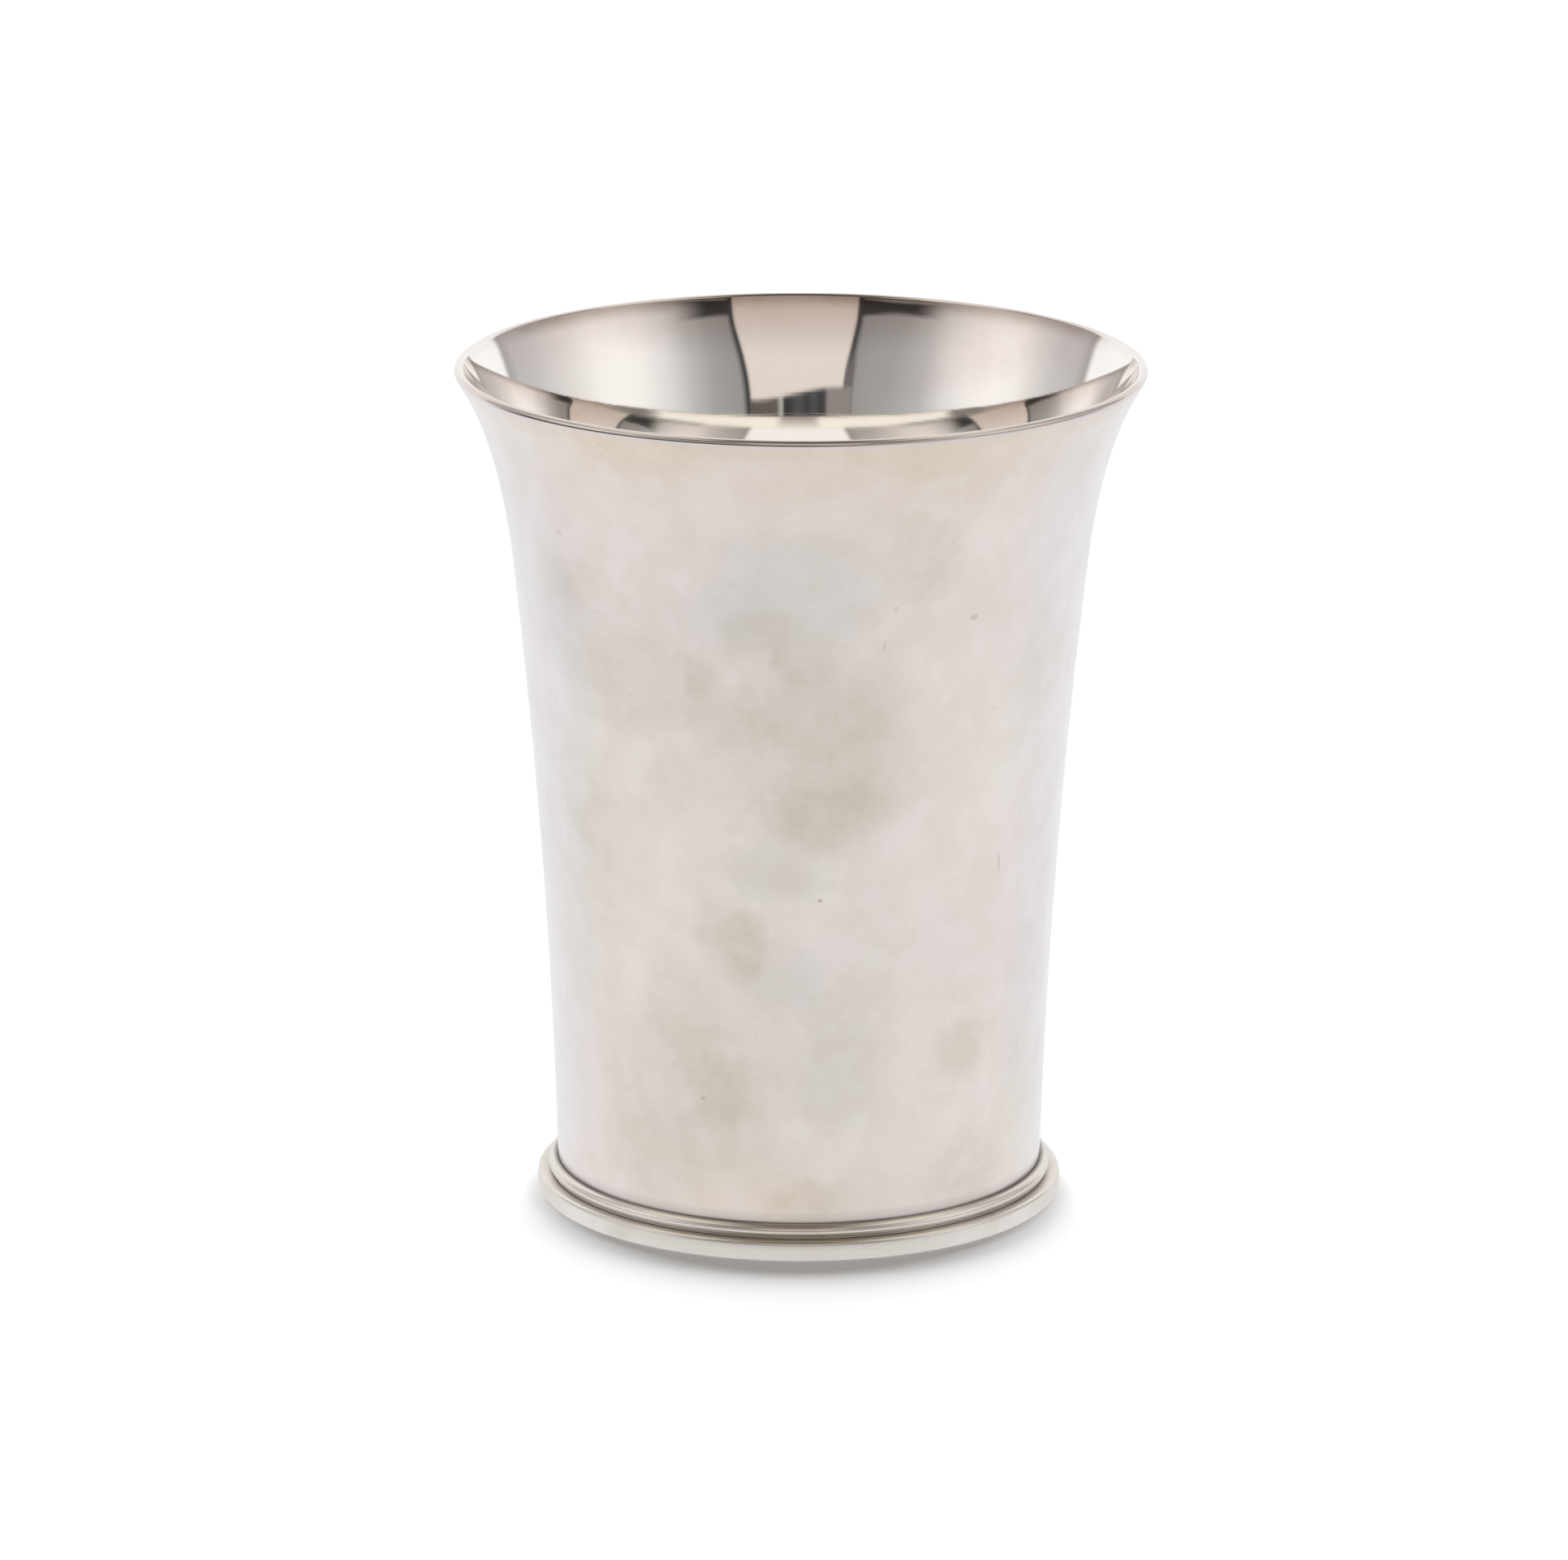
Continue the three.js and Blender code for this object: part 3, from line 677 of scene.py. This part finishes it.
def reedOutline():
    f = footValues
    low = f["bandHeight"] + f["gap"]
    seat = outsideAt(low + f["reedHeight"]) + f["gap"]
    centre = (seat + f["reedDepth"] - f["reedCrown"], low + f["reedHeight"] / 2)
    seatTurn = math.degrees(math.acos((seat - centre[0]) / f["reedCrown"]))
    wire = arc(centre, f["reedCrown"], f["reedHeight"] / 2, -f["solderTurn"], seatTurn, f["reedSteps"])
    # solder drawn into the corner between reed and band
    top = Vector(wire[0])
    tip = Vector((top.x + f["solderReach"], low))
    neck = Vector((top.x - f["solderNeck"], low))
    bend = f["solderCurve"]
    solder = interpolate_bezier(tip, tip.lerp(neck, bend), top.lerp(neck, bend), top, f["edgeSteps"] + 1)
    return [(seat, low)] + [tuple(p) for p in solder[:-1]] + wire


def bandOutline():
    f = footValues
    seatLow = outsideAt(0) + f["gap"]
    seatTop = outsideAt(f["bandHeight"]) + f["gap"]
    reach = seatTop + f["bandDepth"] - f["bandBelly"]
    heel = (reach - f["bandHeel"], f["bandHeel"])
    shoulder = (reach - f["bandShoulder"], f["bandHeight"] - f["bandShoulder"])
    face = []
    for i in range(1, f["faceSteps"]):
        t = i / f["faceSteps"]
        face.append((reach + f["bandBelly"] * 4 * t * (1 - t), heel[1] + (shoulder[1] - heel[1]) * t))
    return ([(seatLow, 0)] + arc(heel, f["bandHeel"], f["bandHeel"], -90, 0, f["edgeSteps"]) + face
            + arc(shoulder, f["bandShoulder"], f["bandShoulder"], 0, 90, f["edgeSteps"])
            + [(seatTop, f["bandHeight"])])


def makeFootSilver():
    f = footValues
    material, tree, shader, coords = startSilver("footSilver")
    seamDirtAndShade = addNode(tree, "Attribute", attribute_name="seamDirtAndShade").outputs["Fac"]
    bloom = useGroup(tree, tarnishBloom, {"Vector": coords, **f["cloud"]})
    lines = useGroup(tree, polishLines, {"Vector": coords, **f["lines"]})["Lines"]
    scratch = useGroup(tree, hairlines, {"Vector": coords, **f["scratches"]})["Mask"]
    pits = useGroup(tree, specks, {"Vector": coords, **f["pits"]})["Mask"]
    stain = calc(tree, "MULTIPLY", bloom["Mask"], fade(tree, bloom["Mottle"], 0.0, 1.0, *f["cloudMottle"]))
    # a thin film of tarnish, with painted shade in front; either side of the front the silver is painted
    # brighter as a reflection
    depth = addNode(tree, "SeparateXYZ", {0: coords}).outputs["Y"]
    front = fade(tree, depth, *f["filmFront"])
    filmAndFrontShade = calc(tree, "MAXIMUM", front, fade(tree, depth, *f["filmBack"]))
    colour = blendColour(tree, calc(tree, "MULTIPLY", filmAndFrontShade, f["filmShare"]), f["clean"], f["filmAndFrontShade"])
    colour = blendColour(tree, stain, colour, f["straw"])
    colour = blendColour(tree, calc(tree, "MULTIPLY", pits, f["pitShare"]), colour, f["speck"])
    # the grooves are darkened with dirt and painted shade, more away from the front
    seamDirtAndShade = calc(tree, "MULTIPLY", seamDirtAndShade, fade(tree, front, *f["dirtAndShadeSide"]))
    colour = blendColour(tree, seamDirtAndShade, colour, f["dirtAndShade"])
    tree.links.new(colour, shader.inputs["Base Color"])
    rough = calc(tree, "MULTIPLY_ADD", stain, f["roughStain"], f["rough"])
    rough = calc(tree, "MULTIPLY_ADD", lines, f["roughLines"], rough)
    rough = calc(tree, "MULTIPLY_ADD", seamDirtAndShade, f["roughSeam"], rough)
    tree.links.new(rough, shader.inputs["Roughness"])
    cut = calc(tree, "MULTIPLY", scratch, f["scratchRelief"])
    relief = calc(tree, "MULTIPLY_ADD", lines, f["linesRelief"], cut)
    relief = calc(tree, "MULTIPLY_ADD", pits, -1.0, relief)
    bump = addNode(tree, "Bump", {"Height": relief, **f["bump"]})
    tree.links.new(bump.outputs[0], shader.inputs["Normal"])
    return material


def reedSeam(r, z):
    # dirt and painted shade against the wall above the reed, and between reed and band
    f = footValues
    above = f["reedTopShare"] * ramp(r, *f["reedTopReach"]) * ramp(z, *f["reedTopRise"])
    return max(above, f["reedLowShare"] * ramp(z, *f["reedLowRise"]))


def bandSeam(r, z):
    f = footValues
    return f["bandTopShare"] * ramp(r, *f["bandTopReach"]) * ramp(z, *f["bandTopRise"])


footSilver = makeFootSilver()
reed = turnOnLathe("footReed", reedOutline(), footValues["turnSteps"], True)
band = turnOnLathe("footBand", bandOutline(), footValues["turnSteps"], True)
paintPoints(reed, "seamDirtAndShade", reedSeam)
paintPoints(band, "seamDirtAndShade", bandSeam)
for piece, node in ((reed, "foot_reed"), (band, "foot_band")):
    workByHand(piece, handWork, footValues["waveDepth"])
    for point in piece.data.vertices:
        point.co.z = max(point.co.z, 0)  # the underside stays flat on the table
    finishPiece(piece, node, footSilver, footValues["sharp"])


# floor, light and camera

floorValues = {
    "size": 6.0, "colour": (0.87, 0.88, 0.89, 1), "cameraGlow": 0.14,
    # how bright metal sees it, as a painted glow: at the sides, less in front, and where it grows dark, less
    # so on the right, with a painted shadow under the beaker
    "mirrorSide": 0.905, "mirrorFall": -0.05,
    "farAway": (0.21, 0.30), "farFacing": (-0.6, -0.2), "farRight": (0.12, 0.20, 1.0, 0.3), "farLoss": -0.85,
    "sideTint": (0.97, 1.0, 1.045, 1), "tintFacing": (-0.45, 0.15),
    "paintedShadowUnderBeaker": (0.024, 0.0285, 0.42, 1.0),
}


def makeFloor():
    v = floorValues
    startFresh()
    bpy.ops.mesh.primitive_plane_add(size=v["size"], location=(0, 0, 0))
    floor = bpy.context.object
    floor.name = "studioFloor"
    material = bpy.data.materials.new("paleFloor")
    material.use_nodes = True
    tree = material.node_tree
    tree.nodes.clear()
    path = addNode(tree, "LightPath").outputs
    spot = addNode(tree, "SeparateXYZ", {0: addNode(tree, "TexCoord").outputs["Object"]}).outputs
    flat = addNode(tree, "CombineXYZ", {"X": spot["X"], "Y": spot["Y"]})
    away = addNode(tree, "VectorMath", {0: flat.outputs[0]}, operation="LENGTH").outputs["Value"]
    facing = calc(tree, "DIVIDE", calc(tree, "MULTIPLY", spot["Y"], -1.0), calc(tree, "MAXIMUM", away, mm))
    paintedGlowStrength = calc(tree, "MULTIPLY_ADD", facing, v["mirrorFall"], v["mirrorSide"])
    far = calc(tree, "MULTIPLY", fade(tree, away, *v["farAway"]), fade(tree, facing, *v["farFacing"]))
    far = calc(tree, "MULTIPLY", far, fade(tree, spot["X"], *v["farRight"]))
    paintedGlowStrength = calc(tree, "MULTIPLY", paintedGlowStrength, calc(tree, "MULTIPLY_ADD", far, v["farLoss"], 1.0))
    # a painted shadow under the beaker, which only the metal mirrors
    paintedGlowStrength = calc(tree, "MULTIPLY", paintedGlowStrength, fade(tree, away, *v["paintedShadowUnderBeaker"]))  # dim under the beaker
    matt = addNode(tree, "BsdfDiffuse", {"Color": v["colour"]})
    glowing = calc(tree, "MULTIPLY", path["Is Camera Ray"], v["cameraGlow"])
    glow = addNode(tree, "Emission", {"Strength": glowing})
    lit = addNode(tree, "AddShader", {0: matt.outputs[0], 1: glow.outputs[0]})
    tint = blendColour(tree, fade(tree, facing, *v["tintFacing"]), v["sideTint"], (1, 1, 1, 1))
    paintedMirrorGlow = addNode(tree, "Emission", {"Color": tint, "Strength": paintedGlowStrength})
    inMetal = calc(tree, "MAXIMUM", path["Is Glossy Ray"], path["Is Transmission Ray"])
    seen = addNode(tree, "MixShader", {0: inMetal, 1: lit.outputs[0], 2: paintedMirrorGlow.outputs[0]})
    clear = addNode(tree, "BsdfTransparent")
    below = addNode(tree, "NewGeometry").outputs["Backfacing"]  # seen through from below
    whole = addNode(tree, "MixShader", {0: below, 1: seen.outputs[0], 2: clear.outputs[0]})
    addNode(tree, "OutputMaterial", {"Surface": whole.outputs[0]})
    floor.data.materials.append(material)


lampValues = {"place": (0, 1, 0.4), "rise": 16.0, "turns": (-17.0, 17.0), "softness": 34.0, "strength": 5.15}


def makeBackLights(shadowPieces):
    # two low soft lights from behind, which lay the foot's shadow in front of it
    v = lampValues
    casters = bpy.data.collections.new("shadowCasters")
    for piece in shadowPieces:
        casters.objects.link(piece)
    for turn in v["turns"]:
        startFresh()
        aim = (math.radians(v["rise"] - 90), 0, math.radians(turn))
        bpy.ops.object.light_add(type="SUN", location=v["place"], rotation=aim)
        lamp = bpy.context.object
        lamp.name = "backLight"
        lamp.data.energy = v["strength"]
        lamp.data.angle = math.radians(v["softness"])
        lamp.visible_glossy = False  # the metal mirrors the tent instead
        lamp.light_linking.blocker_collection = casters


tentValues = {
    # the opening's turn from straight ahead, and how far the side walls' light is turned against it
    "turn": 2.5, "wallTurn": -5.0, "beamTurn": -4.0, "fill": 0.25,
    # the walls' colour, by degrees round from the front
    "walls": [
        (0.0, (0.79, 0.715, 0.655)), (20.2, (0.79, 0.715, 0.655)), (20.9, (0.04, 0.038, 0.036)),
        (21.9, (0.05, 0.048, 0.045)), (23.8, (0.33, 0.32, 0.31)), (36, (0.39, 0.38, 0.37)),
        (47, (0.53, 0.52, 0.51)), (56, (0.77, 0.75, 0.74)), (67, (0.95, 0.92, 0.90)),
        (77, (1.0, 0.97, 0.95)), (88, (0.955, 0.925, 0.895)), (99, (0.775, 0.745, 0.725)),
        (112, (0.61, 0.59, 0.59)), (125, (0.54, 0.52, 0.52)), (130.5, (0.42, 0.40, 0.39)),
        (133.5, (1.0, 0.99, 0.98)), (180, (1.0, 0.99, 0.98)),
    ],
    # their shade by degrees up, at the sides and behind
    "sideShade": [
        (0.0, (1, 1, 1)), (25, (1, 1, 1)), (34, (0.88, 0.87, 0.86)), (43, (0.77, 0.75, 0.73)),
        (51, (0.72, 0.69, 0.64)), (57, (0.79, 0.75, 0.69)), (63, (0.95, 0.90, 0.84)),
        (90, (1.0, 0.95, 0.88)),
    ],
    "backShade": [
        (0.0, (1, 1, 1)), (50, (1, 1, 1)), (54, (0.86, 0.84, 0.80)), (60, (0.68, 0.64, 0.58)),
        (67, (0.50, 0.46, 0.41)), (75, (0.32, 0.29, 0.26)), (90, (0.14, 0.13, 0.12)),
    ],
    "backStart": (131, 134),
    # where the walls' own turn begins and ends, and how the opening widens upwards: right and left
    "wallsFrom": (26.0, 48.0), "wallsTo": (110.0, 85.0), "leftFrom": (-5.0, 5.0), "leftTo": (60.0, 30.0),
    "widenRise": (10.0, 60.0), "narrow": (-1.6, -3.8), "wide": (8.4, 9.0),
    # the dark beam along the front, over the opening's sides: where it runs, and how high it begins
    "beam": (0.045, 0.042, 0.04, 1), "beamSide": (30, 62), "beamRise": (42.2, 37.6), "beamSoft": (-1.8, 0.3),
    "beamFade": (57, 42), "beamEdge": (20.2, 21.2),
    # the ceiling and its pale lobes, by degrees up and round
    "ceiling": (0.24, 0.22, 0.20, 1), "ceilingRise": (47.0, 53.0), "ceilingSide": (95.0, 78.0),
    "overhead": (0.12, 0.11, 0.10, 1), "overheadRise": (64.0, 80.0),
    "lobe": (1.0, 0.965, 0.88, 1), "lobeRise": (50.0, 56.0), "lobeTop": (72.0, 66.0),
    "lobeFront": (26.0, 44.0), "lobeBack": (158.0, 148.0),
    # the post beside the opening, the tent's hem and the ground
    "post": (0.17, 0.15, 0.145, 1), "postRise": (30.0, 19.0), "postTurn": (-12.0, -16.0),
    "postInner": (19.8, 20.6), "postOuter": (25.0, 23.0),
    "hem": (0.20, 0.19, 0.185, 1), "hemRise": (9.0, 6.0), "hemSide": (118.0, 105.0),
    "ground": (0.34, 0.33, 0.32, 1), "groundRise": (-10.0, -75.0),
    # what shows low in the opening, by degrees from its right, and the sill and edge that bound it
    "roomStart": -25.0, "sill": (-14.0, 20.0, 16.9, 13.9), "sillSoft": 0.7,
    "roomEdge": (-10.0, -14.0, 21.5, 24.0), "roomSoft": 0.8,
    "room": [
        (0.0, (0.28, 0.25, 0.24)), (14.2, (0.28, 0.25, 0.24)), (15.6, (0.075, 0.072, 0.07)),
        (17.0, (0.05, 0.05, 0.05)), (20.0, (0.085, 0.085, 0.088)), (22.5, (0.055, 0.055, 0.057)),
        (26.0, (0.09, 0.09, 0.092)), (30.5, (0.04, 0.04, 0.04)), (31.6, (0.05, 0.05, 0.05)),
        (32.4, (0.44, 0.42, 0.40)), (33.2, (0.42, 0.40, 0.38)), (34.4, (0.125, 0.11, 0.10)),
        (45.0, (0.12, 0.105, 0.095)), (50.0, (0.12, 0.105, 0.095)),
    ],
}


def makeTent():
    # a pale light tent: soft side walls, a warm opening with dark edges towards the camera, white behind
    v = tentValues
    world = bpy.data.worlds.new("studioTent")
    bpy.context.scene.world = world
    world.use_nodes = True
    tree = world.node_tree
    tree.nodes.clear()
    ray = addNode(tree, "SeparateXYZ", {0: addNode(tree, "TexCoord").outputs["Generated"]}).outputs
    front = calc(tree, "MULTIPLY", ray["Y"], -1.0)
    bearing = calc(tree, "DEGREES", calc(tree, "ARCTAN2", ray["X"], front))
    plain = calc(tree, "ABSOLUTE", bearing)
    onWalls = calc(tree, "MULTIPLY", fade(tree, plain, *v["wallsFrom"]), fade(tree, plain, *v["wallsTo"]))
    turn = calc(tree, "MULTIPLY_ADD", onWalls, v["wallTurn"], v["turn"])
    around = calc(tree, "ABSOLUTE", calc(tree, "SUBTRACT", bearing, turn))
    above = calc(tree, "DEGREES", calc(tree, "ARCSINE", ray["Z"]))
    # the opening widens upwards, more so on its left
    left = calc(tree, "MULTIPLY", fade(tree, bearing, *v["leftFrom"]), fade(tree, plain, *v["leftTo"]))
    narrow = fade(tree, left, 0.0, 1.0, *v["narrow"])
    wide = fade(tree, left, 0.0, 1.0, *v["wide"])
    side = calc(tree, "SUBTRACT", around, fade(tree, above, *v["widenRise"], narrow, wide))
    walls = colourRamp(tree, side, v["walls"])
    shade = blendColour(tree, fade(tree, side, *v["backStart"]), colourRamp(tree, above, v["sideShade"]),
                        colourRamp(tree, above, v["backShade"]))
    tent = blendColour(tree, 1.0, walls, shade, "MULTIPLY")
    # a dark beam over the opening's sides
    along = calc(tree, "ABSOLUTE", calc(tree, "SUBTRACT", bearing, v["beamTurn"]))
    rise = fade(tree, along, *v["beamSide"], *v["beamRise"])
    beam = fade(tree, above, *[calc(tree, "ADD", rise, soft) for soft in v["beamSoft"]])
    beam = calc(tree, "MULTIPLY", beam, fade(tree, along, *v["beamFade"]))
    beam = calc(tree, "MULTIPLY", beam, fade(tree, side, *v["beamEdge"]))
    tent = blendColour(tree, beam, tent, v["beam"])
    # the ceiling is dark in front, and overhead
    ceiling = fade(tree, above, *v["ceilingRise"])
    ceiling = calc(tree, "MULTIPLY", ceiling, fade(tree, side, *v["ceilingSide"]))
    tent = blendColour(tree, ceiling, tent, v["ceiling"])
    tent = blendColour(tree, fade(tree, above, *v["overheadRise"]), tent, v["overhead"])
    # high on either side, a pale lobe
    lobe = calc(tree, "MULTIPLY", fade(tree, above, *v["lobeRise"]), fade(tree, above, *v["lobeTop"]))
    lobe = calc(tree, "MULTIPLY", lobe, fade(tree, side, *v["lobeFront"]))
    lobe = calc(tree, "MULTIPLY", lobe, fade(tree, side, *v["lobeBack"]))
    tent = blendColour(tree, lobe, tent, v["lobe"])
    # a post on the opening's right
    post = calc(tree, "MULTIPLY", fade(tree, above, *v["postRise"]), fade(tree, bearing, *v["postTurn"]))
    post = calc(tree, "MULTIPLY", post, fade(tree, side, *v["postInner"]))
    post = calc(tree, "MULTIPLY", post, fade(tree, side, *v["postOuter"]))
    tent = blendColour(tree, post, tent, v["post"])
    # the dark room shows low in the opening, and along the tent's hem
    room = colourRamp(tree, calc(tree, "SUBTRACT", bearing, v["roomStart"]), v["room"])
    sill = fade(tree, bearing, *v["sill"])
    sillTop = calc(tree, "ADD", sill, v["sillSoft"])
    sillLow = calc(tree, "SUBTRACT", sill, v["sillSoft"])
    edge = fade(tree, bearing, *v["roomEdge"])
    edgeInner = calc(tree, "SUBTRACT", edge, v["roomSoft"])
    shows = calc(tree, "MULTIPLY", fade(tree, above, sillTop, sillLow), fade(tree, side, edge, edgeInner))
    tent = blendColour(tree, shows, tent, room)
    hem = calc(tree, "MULTIPLY", fade(tree, above, *v["hemRise"]), fade(tree, side, *v["hemSide"]))
    tent = blendColour(tree, hem, tent, v["hem"])
    # dimmer towards the ground, which only the underside mirrors
    tent = blendColour(tree, fade(tree, above, *v["groundRise"]), tent, v["ground"])
    path = addNode(tree, "LightPath").outputs
    shown = blendColour(tree, path["Is Camera Ray"], tent, (1, 1, 1, 1))
    strength = fade(tree, path["Is Diffuse Ray"], 0.0, 1.0, 1.0, v["fill"])
    sky = addNode(tree, "Background", {"Color": shown, "Strength": strength})
    addNode(tree, "OutputWorld", {"Surface": sky.outputs[0]})


cameraValues = {
    # lens and sensor, distance and target in mm, tilt and roll in degrees
    "lens": 211.38, "sensor": 36.0, "away": 1088.9, "target": (-1.873, 0.0, 49.68),
    "tilt": 15.05, "roll": 0.14, "nearest": 0.01, "farthest": 50,
}


def makeCamera():
    # where the photograph was taken from
    c = cameraValues
    startFresh()
    tilt = math.radians(c["tilt"])
    back = Vector((0, -math.cos(tilt), math.sin(tilt)))
    place = (Vector(c["target"]) + back * c["away"]) * mm
    bpy.ops.object.camera_add(location=place)
    camera = bpy.context.object
    camera.name = "photoCamera"
    camera.rotation_mode = "ZYX"
    camera.rotation_euler = (math.pi / 2 - tilt, 0, math.radians(c["roll"]))
    camera.data.lens = c["lens"]
    camera.data.sensor_fit = "HORIZONTAL"
    camera.data.sensor_width = c["sensor"]
    camera.data.clip_start = c["nearest"]
    camera.data.clip_end = c["farthest"]
    bpy.context.scene.camera = camera


makeFloor()
makeBackLights([reed, band, base])
makeTent()
makeCamera()
bpy.context.scene.view_settings.view_transform = "Standard"
bpy.context.scene.cycles.glossy_bounces = 10  # the inside mirrors itself again and again
print("stage ready")
